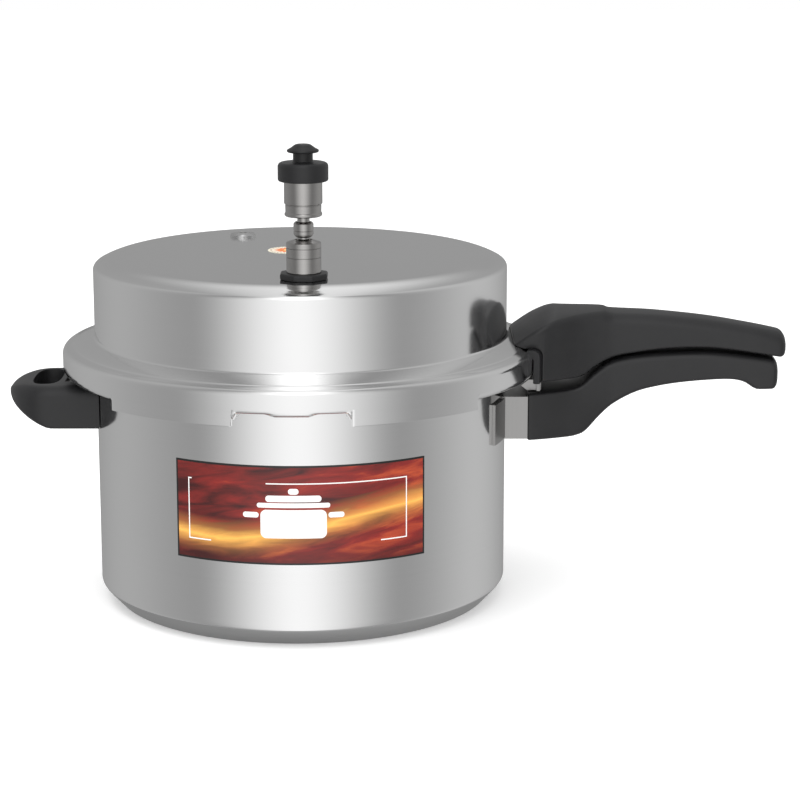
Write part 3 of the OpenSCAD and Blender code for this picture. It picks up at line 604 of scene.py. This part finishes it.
def makePot(spec):
    inner = wallR - spec["wall"]
    footR = wallR - spec["bandIn"]
    under = rimZ - spec["rimThick"]
    rimR = wallR + spec["rimOut"]
    outline = [(0, 0.6), (footR - 14, 0.6), (footR - 12, 0), (footR - 1.2, 0), (footR + 0.4, 0.7)]
    outline += [(wallR - 1.1, spec["bandHeight"] - 1.5), (wallR - 0.25, spec["bandHeight"] - 0.2),
                (wallR, spec["bandHeight"] + 0.8)]
    outline += [(wallR, spec["bandHeight"] + 3 + (under - 1.5 - spec["bandHeight"] - 3) * i / 12)
                for i in range(13)]
    outline += arcPoints(wallR + 1.5, under - 1.5, 1.5, 180, 90, 4)
    outline += arcPoints(rimR - 0.6, under + 0.6, 0.6, -90, 0, 3)
    outline += arcPoints(rimR - 0.8, rimZ - 0.8, 0.8, 0, 90, 3)
    outline += arcPoints(inner + 0.8, rimZ - 0.8, 0.8, 90, 180, 3)
    outline += arcPoints(inner - spec["cornerR"], spec["floor"] + spec["cornerR"], spec["cornerR"],
                         0, -90, 10)
    outline += [(0, spec["floor"])]
    pot = turned("potBody", outline, steps=240)
    lugs = []
    for i in range(spec["lugs"]):
        middle = -90 + i * 360 / spec["lugs"]
        lug = turned("lug", [(rimR - 1.5, under), (rimR + spec["lugOut"], under),
                             (rimR + spec["lugOut"], rimZ), (rimR - 1.5, rimZ)],
                     steps=18, start=middle - spec["lugDegrees"] / 2, angle=spec["lugDegrees"], ring=True)
        softEdges(lug, 0.7)
        smooth(lug)
        lugs.append(lug)
    for paint in ("pot", "band", "inside"):
        pot.data.materials.append(paints[paint])
    for face in pot.data.polygons:
        spot = Vector(face.center) / mm
        radius = math.hypot(spot.x, spot.y)
        if spot.z < spec["bandHeight"] - 0.1 and (radius > inner - 1 or face.normal.z < -0.3):
            face.material_index = 1
        elif radius < inner + 0.2 and face.normal.z > -0.3 and spot.z < rimZ - 1:
            face.material_index = 2
    for lug in lugs:
        lug.data.materials.append(paints["pot"])
    pot = joined([pot] + lugs, "potBody")
    return place(pot, "pot", "polished_aluminium", "pot_body")


makePot(potSpec)
print("pot ready")


lidSpec = {"sheet": 3.1, "domeR": wallR + 0.6, "crownR": 36, "crownTurn": 28.5, "topR": 3.6,
           "footR": 2, "slope": 18, "cornerR": 4,
           "cornerZ": rimZ + 4.8, "skirtZ": rimZ - 12.8, "lipZ": rimZ - 7.6, "rollR": 4.7,
           "lipR": wallR + 6, "open": 87, "lip": 27, "stepR": 138.2, "stepDown": 0.3,
           "beadRise": 1.7, "cornerDrop": 4.2}


def lidLine(spec, inset):
    # outside of the lid from the crown to the corner of the shoulder, moved in by inset
    away = 90 - spec["slope"]
    footX = spec["domeR"] + spec["footR"]
    cornerX = skirtR - spec["cornerR"]
    footZ = spec["cornerZ"] + (spec["footR"] + spec["cornerR"] - math.cos(math.radians(away))
                               * (footX - cornerX)) / math.sin(math.radians(away))
    turn = spec["crownTurn"]
    reach = spec["crownR"] - spec["topR"]
    crownX = spec["domeR"] - spec["topR"] - reach * math.sin(math.radians(turn))
    edgeZ = crownZ - spec["crownR"] + reach * math.cos(math.radians(turn))
    line = [(0, crownZ - inset)]
    line += arcPoints(crownX, crownZ - spec["crownR"], spec["crownR"] - inset, 90, 90 - turn, 10)
    line += arcPoints(spec["domeR"] - spec["topR"], edgeZ, spec["topR"] - inset, 90 - turn, 0, 8)
    line += arcPoints(footX, footZ, spec["footR"] + inset, 180, 270 - spec["slope"], 8)
    line += arcPoints(cornerX, spec["cornerZ"], spec["cornerR"] - inset, away, 0, 8)
    return line


def steppedShoulder(spec, line):
    # the shoulder has a faint pressed step part way down
    out = []
    for (r0, z0), (r1, z1) in zip(line, line[1:]):
        out.append((r0, z0))
        if r0 < spec["stepR"] < r1 and z0 < crownZ - 20:
            share = (spec["stepR"] - r0) / (r1 - r0)
            z = z0 + (z1 - z0) * share
            out += [(spec["stepR"] - 0.9, z + 0.42), (spec["stepR"] - 0.2, z - 0.05),
                    (spec["stepR"] + 0.5, z - spec["stepDown"] - 0.3)]
    return out + [line[-1]]


def rollOn(piece, wanted, points):
    # extrudes the picked end faces through a list of (outer, inner) spots
    bpy.ops.object.mode_set(mode="EDIT")
    selectFaces(piece, wanted)
    for outer, inner in points:
        bpy.ops.mesh.extrude_region_move(TRANSFORM_OT_translate={"value": (0, 0, 0)})
        mesh = bmesh.from_edit_mesh(piece.data)
        was = outerWas if points.index((outer, inner)) else None
        for v in [v for v in mesh.verts if v.select]:
            radius = math.hypot(v.co.x, v.co.y) / mm
            if was is None:
                isOuter = radius > skirtR - 1
            else:
                isOuter = math.dist((radius, v.co.z / mm), was) < 0.01
            goal = outer if isOuter else inner
            scale = goal[0] / radius
            v.co = Vector((v.co.x * scale, v.co.y * scale, goal[1] * mm))
        outerWas = outer
        bmesh.update_edit_mesh(piece.data)
    bpy.ops.object.mode_set(mode="OBJECT")


def shapeOpenings(lid, spec):
    # the rolled edge rises beside the middle of each window and turns down at its ends
    rollZ = spec["lipZ"] + spec["rollR"]
    corner = spec["cornerDrop"] / skirtR * 180 / math.pi
    for v in lid.data.vertices:
        spot = v.co / mm
        if spot.z > rollZ + 0.02 or math.hypot(spot.x, spot.y) < spec["lipR"] - 1:
            continue
        for middle, half in ((0, spec["open"] / 2), (180, spec["open"] / 2), (90, spec["lip"] / 2),
                             (-90, spec["lip"] / 2)):
            off = abs((bearing(spot) - middle + 180) % 360 - 180)
            if off > half + 0.01 or spot.z < spec["skirtZ"] + 0.5:
                continue
            share = (rollZ - spot.z) / spec["rollR"]
            if half < 20:
                rise = min(max((off - 3.6) / 2.6, 0), 1)
                v.co.z += share * spec["beadRise"] * (3 - 2 * rise) * rise ** 2 * mm
            turn = min(max((off - half + corner) / corner, 0), 1)
            v.co.z -= share * spec["cornerDrop"] * (1 - math.sqrt(max(1 - turn ** 2, 0))) * mm


def makeLid(spec):
    rollZ = spec["lipZ"] + spec["rollR"]
    rollX = skirtR - spec["rollR"]
    thin = skirtR - spec["sheet"]
    outline = steppedShoulder(spec, lidLine(spec, 0)) + [(skirtR, rollZ), (thin, rollZ)]
    outline += list(reversed(lidLine(spec, spec["sheet"])))
    lid = turned("lidShell", outline, steps=480)
    pick(lid)
    half = spec["open"] / 2

    def onEnd(spot, normal):
        return abs(spot.z - rollZ) < 0.05 and normal.z < -0.9 and math.hypot(spot.x, spot.y) > thin - 0.5

    def inOpening(spot):
        return (within(spot, 0, half) or within(spot, 180, half)
                or within(spot, 90, spec["lip"] / 2) or within(spot, -90, spec["lip"] / 2))

    rollOn(lid, lambda s, n: onEnd(s, n) and not inOpening(s),
           [((skirtR, spec["skirtZ"]), (thin, spec["skirtZ"]))])
    turnIn = []
    for i in range(1, 9):
        a = math.radians(-90 * i / 8)
        far, near = spec["rollR"], spec["rollR"] - spec["sheet"]
        turnIn.append(((rollX + far * math.cos(a), rollZ + far * math.sin(a)),
                       (rollX + near * math.cos(a), rollZ + near * math.sin(a))))
    topZ = spec["lipZ"] + spec["sheet"]
    turnIn.append(((rollX - 1, spec["lipZ"]), (rollX - 1, topZ)))
    rollOn(lid, lambda s, n: onEnd(s, n) and inOpening(s), turnIn)
    bpy.ops.object.mode_set(mode="EDIT")
    selectFaces(lid, lambda s, n: abs(math.hypot(s.x, s.y) - rollX + 1) < 0.3 and abs(n.z) < 0.2
                and any(within(s, m, spec["lip"] / 2) for m in range(-150, 200, 60))
                and n.x * s.x + n.y * s.y < 0)
    bpy.ops.mesh.extrude_region_move(TRANSFORM_OT_translate={"value": (0, 0, 0)})
    mesh = bmesh.from_edit_mesh(lid.data)
    for v in [v for v in mesh.verts if v.select]:
        scale = spec["lipR"] * mm / math.hypot(v.co.x, v.co.y)
        v.co = Vector((v.co.x * scale, v.co.y * scale, v.co.z))
    bmesh.update_edit_mesh(lid.data)
    bpy.ops.object.mode_set(mode="OBJECT")
    shapeOpenings(lid, spec)
    softEdges(lid, 0.45, 2, 50)
    smooth(lid)
    dress(lid, paints["pot"])
    lid.data.materials.append(paints["inside"])
    for face in lid.data.polygons:
        spot = Vector(face.center) / mm
        if math.hypot(spot.x, spot.y) < thin + 0.1 and spot.z < crownZ - spec["sheet"] + 0.2:
            out = face.normal.x * spot.x + face.normal.y * spot.y
            if out < 0 or face.normal.z < -0.5:
                face.material_index = 1
    return place(lid, "lid", "polished_aluminium", "lid_shell")


makeLid(lidSpec)
print("lid ready")


gripSpec = {"neck": 60, "grip": 110}
neckX = wallR + gripSpec["neck"]
tipX = neckX + gripSpec["grip"]


def fromWall(points):
    # points given from the pot wall and the rim
    return smoothCurve([(wallR + x, rimZ + z) for x, z in points])


potHandleSpec = {
    "start": wallR + 12.8, "end": tipX - 4,
    "top": [(12.8, -18.6), (30, -18.0), (41, -16.8), (47, -14.0), (53.5, -8.2), (64.5, -0.9), (83, 2.8),
            (114, 4.6), (132.5, 3.8), (157, 0.8), (166, -1.2)],
    "low": [(12.8, -48.4), (36, -47.9), (44, -46.8), (49, -44.4), (56.5, -36.4), (65, -28.8), (77, -22),
            (89, -18.2), (108, -15.0), (133, -13.2), (144, -14.4), (150, -17.8), (153, -19.4),
            (162.5, -19.4), (166, -18.6)],
    "half": [(12.8, 28), (22, 26), (40, 20.5), (60, 15.8), (76, 15), (155, 14.7), (166, 14)],
    "edge": [(12.8, 2.2), (50, 3), (70, 5)], "crown": [(12.8, 0.6), (60, 1.2), (90, 1.5)],
    "lowR": 3.5, "rootR": 1.2, "tipR": 3.5}


def handleSections(spec, count=64):
    top, low = fromWall(spec["top"]), fromWall(spec["low"])
    wide, edge, crown = ([Vector((wallR + x, w)) for x, w in spec[key]] for key in ("half", "edge", "crown"))
    wide = smoothCurve(wide)
    start, end = spec["start"], spec["end"]
    stations = []
    for i in range(6):                                # rounded root
        a = math.radians(90 * (1 - i / 5))
        stations.append((start + spec["rootR"] * (1 - math.sin(a)), spec["rootR"] * (1 - math.cos(a))))
    inner, outer = start + spec["rootR"], end - spec["tipR"]
    for i in range(1, count):
        stations.append((inner + (outer - inner) * i / count, 0))
    for i in range(9):                                # rounded tip
        a = math.radians(90 * i / 8)
        stations.append((outer + spec["tipR"] * math.sin(a), spec["tipR"] * (1 - math.cos(a))))
    out = []
    for x, shrink in stations:
        half = heightAt(wide, x) - shrink
        ring = section(half, heightAt(low, x) + shrink, heightAt(top, x) - shrink,
                       heightAt(edge, x), spec["lowR"], heightAt(crown, x))
        out.append((x, ring))
    return out


def makePotHandle(spec):
    handle = lofted("potHandle", handleSections(spec))
    dress(handle, paints["black"])
    return place(handle, "pot", "black_phenolic", "pot_handle")


lidHandleSpec = {
    "start": wallR + 3.6, "end": tipX + 0.5,
    "top": [(3.6, 16.6), (5, 17.5), (16, 24.9), (27, 30.1), (35, 30.6), (58, 30.2), (64, 28.7), (91, 27.2),
            (123, 23.8), (148, 19.6), (166, 16.0), (171, 14.6)],
    "low": [(3, -10.9), (36, -10.9), (43.7, -10.5), (48.5, -8.5), (53.5, -4.7), (64.5, 0.8), (77, 3.4),
            (95, 5.8), (114, 6.7), (132, 5.9), (157, 2.2), (171, -0.2)],
    "half": [(3, 32.4), (10, 33.4), (20, 32.6), (30, 28), (42, 21.5), (58, 16.8), (76, 15.4), (150, 14.8),
             (171, 13)],
    "edge": [(3, 2.2), (26, 3), (60, 6.5), (90, 7.5)], "crown": [(3, 5.2), (30, 5.6), (60, 2.6), (90, 2)],
    "lowR": 2.5, "rootR": 1.0, "tipR": 4}


def lidEnvelope(room):
    line = lidLine(lidSpec, -room)
    line += [(skirtR + room, lidSpec["skirtZ"] - 20), (0, lidSpec["skirtZ"] - 20)]
    return turned("lidEnvelope", line, steps=240)


collarSpec = {"thick": 4, "half": 15.5, "top": rimZ + 9.8, "low": rimZ - 10.5, "roundR": 4.5}


def makeLidHandle(spec, collar):
    handle = lofted("lidHandle", handleSections(spec))
    cut(handle, lidEnvelope(0.35))
    outside = skirtR + 0.3 + collar["thick"] + 0.3
    seat = [(0, collar["low"] - 20), (outside, collar["low"] - 20)]
    roundR = collar["roundR"]
    seat += arcPoints(outside - roundR, collar["top"] + 0.3 - roundR, roundR, 0, 90, 6)
    seat += [(0, collar["top"] + 0.3)]
    cut(handle, turned("collarSeat", seat, steps=240))
    softEdges(handle, 0.5, 2, 60)
    smooth(handle, 35)
    dress(handle, paints["black"])
    return place(handle, "lid", "black_phenolic", "lid_handle")


def makeCollar(spec):
    inside, outside = skirtR + 0.3, skirtR + 0.3 + spec["thick"]
    outline = [(inside, spec["low"]), (outside, spec["low"])]
    outline += arcPoints(outside - spec["roundR"], spec["top"] - spec["roundR"], spec["roundR"], 0, 88, 8)
    outline += [(inside - 4, spec["top"]), (inside - 4, spec["top"] - 2)]
    outline += [(inside - 1.6, spec["top"] - 3), (inside, spec["top"] - 6)]
    collar = turned("lidCollar", outline, start=-spec["half"], angle=2 * spec["half"], steps=40, ring=True)
    softEdges(collar, 0.6, 2, 50)
    smooth(collar, 40)
    dress(collar, paints["blackFine"])
    return place(collar, "lid", "black_phenolic", "lid_handle_collar")


makePotHandle(potHandleSpec)
makeLidHandle(lidHandleSpec, collarSpec)
makeCollar(collarSpec)
print("long handles ready")


helperSpec = {
    "tip": -(wallR + 53.8), "root": -(wallR - 4), "half": 33, "reach": 25, "edge": 8, "under": 3,
    "top": [(-178.8, 127.8), (-177, 130.4), (-170.5, 133.2), (-159, 134.5), (-120, 134.5)],
    "low": [(-178.8, 127.4), (-177.2, 123.8), (-171, 118.8), (-162, 113.2), (-153.5, 109.1), (-150, 108.6),
            (-120, 108.6)],
    "slotX": -155.3, "slotLong": 8.6, "slotWide": 22, "channelX": -143.6, "channelHalf": 15.4}


def makeHelper(spec):
    top, low = (smoothCurve(spec[key]) for key in ("top", "low"))
    rings = []
    marks = [0.06, 0.25, 0.6, 1.1, 1.8, 2.7, 3.8, 5.2, 6.8, 8.6, 10.6, 12.8, 15, 17.2, 19.5, 22, 25]
    marks += [25 + (spec["root"] - spec["tip"] - 25) * i / 12 for i in range(1, 13)]
    for mark in marks:
        x = spec["tip"] + mark
        round1 = 1 - min(mark / spec["reach"], 1)
        half = spec["half"] * math.sqrt(max(1 - round1 ** 2, 0.0001))
        rings.append((x, section(half, heightAt(low, x), heightAt(top, x), spec["edge"], spec["under"], 0)))
    handle = lofted("helperHandle", rings)

    deselectAll()
    bpy.ops.mesh.primitive_cylinder_add(vertices=72, radius=1, depth=0.08, location=(0, 0, 0.12))
    slot = bpy.context.active_object
    bpy.ops.object.transform_apply(location=True)
    for v in slot.data.vertices:                     # a rounded slot, fuller than an ellipse
        turn = math.atan2(v.co.y, v.co.x)
        c, d = math.cos(turn), math.sin(turn)
        v.co.x = (spec["slotX"] + spec["slotLong"] * math.copysign(abs(c) ** 0.7, c)) * mm
        v.co.y = spec["slotWide"] * math.copysign(abs(d) ** 0.7, d) * mm
    cut(handle, slot)
    deselectAll()
    wide = spec["channelHalf"]
    bpy.ops.mesh.primitive_cube_add(size=1, location=((spec["channelX"] + 30) * mm, 0, 0.125),
                                    scale=(60 * mm, 2 * wide * mm, 0.08))
    cut(handle, bpy.context.active_object)
    wall = turned("potRoom", [(0, 90), (wallR + 0.4, 90), (wallR + 0.4, 150), (0, 150)], steps=200)
    cut(handle, wall)
    softEdges(handle, 1.8, 4, 48)
    smooth(handle, 35)
    dress(handle, paints["black"])
    return place(handle, "pot", "black_phenolic", "helper_handle")


makeHelper(helperSpec)
print("helper handle ready")


stackSpec = {"nut": 3.7, "nutWide": 27, "housing": 22.7, "bulb": 24, "bulbTop": 33,
             "weight": 35.9, "pipeTop": 40.3, "weightTop": 56, "capTop": 66.8, "stemTop": 72.3,
             "knobTop": 77, "housingR": 10.05, "bulbR": 5.75, "weightR": 10.95, "capR": 14.4,
             "knobR": 9.1, "neckR": 3}


def makeStack(spec):
    # heights are above the crown of the lid, and everything turns about the vent
    def up(name, outline, body, paint, slot, node, steps=96):
        piece = turned(name, [(r, crownZ + h) for r, h in outline], (ventX, ventY), steps, ring=True)
        smooth(piece, 28)
        dress(piece, paints[paint])
        return place(piece, body, slot, node)

    nut, house, r = spec["nut"], spec["housing"], spec["housingR"]
    up("ventHousing", [(4.3, nut), (r - 0.3, nut), (r, nut + 0.3), (r, house - 10.2),
                       (r - 0.35, house - 10.05), (r - 0.35, house - 9.85), (r, house - 9.7),
                       (r, house - 4.8), (r - 0.35, house - 4.65),
                       (r - 0.35, house - 4.4), (r, house - 4.25), (r, house - 2), (r - 0.2, house - 1.6),
                       (r - 0.6, house - 1.35), (5.6, house - 0.1), (5.2, house), (4.95, house - 0.2),
                       (4.8, house - 1.8), (4.3, house - 1.8)], "lid", "steel", "steel", "vent_housing")

    bulb, end, b, n = spec["bulb"], spec["bulbTop"], spec["bulbR"], spec["neckR"]
    top = spec["pipeTop"]
    up("ventPipe", [(1.5, -12), (3.6, -12), (4, -11.6), (4, house - 2.6), (n, house - 1.6), (n, bulb),
                    (b - 1.6, bulb), (b - 0.5, bulb + 0.9), (b, bulb + 1.9), (b, bulb + 3.5),
                    (b - 0.25, bulb + 3.7), (b - 0.25, bulb + 3.9), (b, bulb + 4.1), (b, end - 1.3),
                    (b - 0.3, end - 0.8),
                    (b - 1.2, end), (n + 0.6, end), (n + 0.5, end + 0.3), (n + 0.5, top), (2.7, top),
                    (1.5, top - 1.2)], "lid", "steel", "steel", "vent_pipe")

    low, high, w = spec["weight"], spec["weightTop"], spec["weightR"]
    up("weightSleeve", [(6.95, low), (w - 1.4, low), (w - 0.6, low + 0.35), (w - 0.2, low + 0.8),
                        (w - 0.2, low + 1.9), (w - 0.35, low + 2.2), (w - 0.7, low + 2.5),
                        (w - 0.6, low + 6.5), (w - 0.8, low + 6.6), (w - 0.85, low + 6.8),
                        (w - 0.8, low + 7), (w - 0.5, low + 7.1),
                        (w - 0.1, low + 7.5), (w, low + 7.9), (w, high), (4.3, high), (4.3, high - 5.1),
                        (1.78, high - 5.1), (1.78, top + 1.6), (6.95, top + 1.6)],
       "weight", "steel", "steel", "weight_sleeve")

    c, stem, knob = spec["capR"], spec["stemTop"], spec["knobTop"]
    flat, k = spec["capTop"], spec["knobR"]
    cap = [(2.8, high + 3), (2.8, high + 2), (4.3, high + 2), (4.3, high), (c - 1.4, high)]
    cap += arcPoints(c - 1.3, high + 1.3, 1.3, -80, 0, 6) + arcPoints(c - 2.4, flat - 2.4, 2.4, 0, 80, 10)
    cap += [(6.4, flat), (5.75, flat + 0.5), (5.65, flat + 1.2), (5.65, stem - 0.4), (5.9, stem),
            (k - 1, stem)]
    cap += arcPoints(k - 0.9, stem + 0.9, 0.9, -80, 50, 8)
    cap += [(k * 0.78, stem + 2.5), (k * 0.56, knob - 0.75), (k * 0.48, knob - 0.3), (k * 0.38, knob - 0.05),
            (k * 0.2, knob), (0, knob), (0, knob - 3), (2.8, knob - 3)]
    up("weightCap", cap, "weight", "blackFine", "black_phenolic", "weight_cap")

    deselectAll()
    across = spec["nutWide"] / 2 / math.cos(math.pi / 8)
    bpy.ops.mesh.primitive_cylinder_add(vertices=8, radius=across * mm, depth=nut * mm, end_fill_type="NGON",
                                        location=(ventX * mm, ventY * mm, (crownZ + nut / 2) * mm),
                                        rotation=(0, 0, math.pi / 8))
    base = bpy.context.active_object
    settle(base, "ventBase")
    cutter = turned("pipeRoom", [(0, -5), (4.2, -5), (4.2, 9), (0, 9)], steps=64)
    cutter.location = (ventX * mm, ventY * mm, crownZ * mm)
    cut(base, cutter)
    softEdges(base, 1.1, 4, 30)
    smooth(base, 40)
    dress(base, paints["blackFine"])
    return place(base, "lid", "black_phenolic", "vent_base_nut")


makeStack(stackSpec)
print("vent and weight ready")


nodePaints = {
    "pot_bracket": "brushed", "pot_bracket_rivets": "plainSteel", "pot_handle_screw": "plainSteel",
    "helper_bracket": "brushed", "helper_bracket_rivets": "plainSteel",
    "helper_handle_screw": "plainSteel", "body_label": "label", "gasket": "rubber",
    "lid_bracket": "brushed", "lid_bracket_rivets": "plainSteel", "lid_handle_screws": "plainSteel",
    "vent_washer": "rubber", "vent_lock_nut": "plainSteel", "safety_plug": "plainSteel",
    "fusible_alloy": "alloy", "safety_plug_nut": "plainSteel", "safety_plug_washer": "rubber",
    "lid_sticker": "sticker",
    "valve_needle": "steel", "weight_stud": "steel"}
for node, paint in nodePaints.items():
    dressNode(node, paints[paint])
